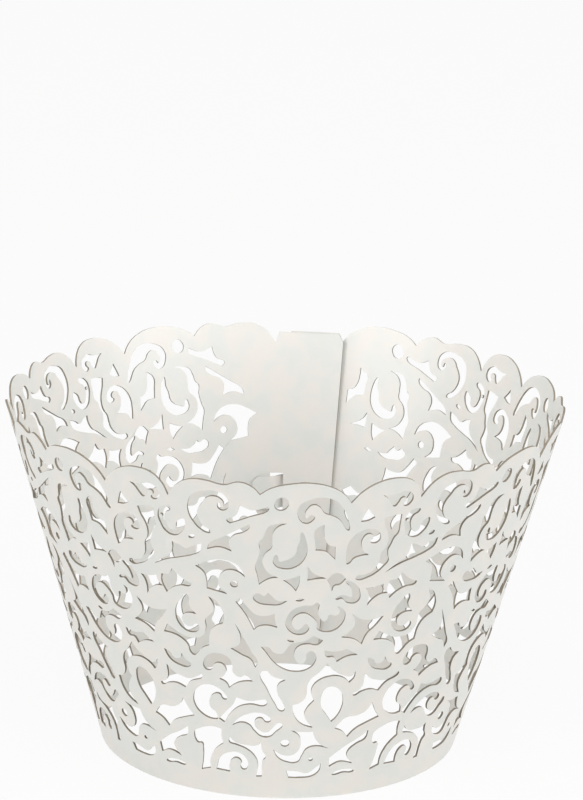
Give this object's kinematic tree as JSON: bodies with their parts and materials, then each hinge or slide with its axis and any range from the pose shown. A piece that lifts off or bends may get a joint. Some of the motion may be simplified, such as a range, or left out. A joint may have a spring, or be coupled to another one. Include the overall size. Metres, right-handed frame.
{
  "type": "cupcake wrapper",
  "caption": "Laser-cut lace cupcake wrapper: a card sheet with vine-scroll cut-outs and a scalloped rim, wrapped into an open cone and closed by a tab in a slot.",
  "frame": {"origin": "on the cone's axis, in the plane of the base edge", "axes": "+Z along the cone's axis from the base edge to the scalloped rim, -Y towards the front of the picture, the seam at +Y"},
  "size_m": [0.0797, 0.0804, 0.0511],
  "materials": {
    "pearl_card": "satin pearl"
  },
  "bodies": {
    "root": {"lace_wrapper": "pearl_card"}
  },
  "joints": []
}
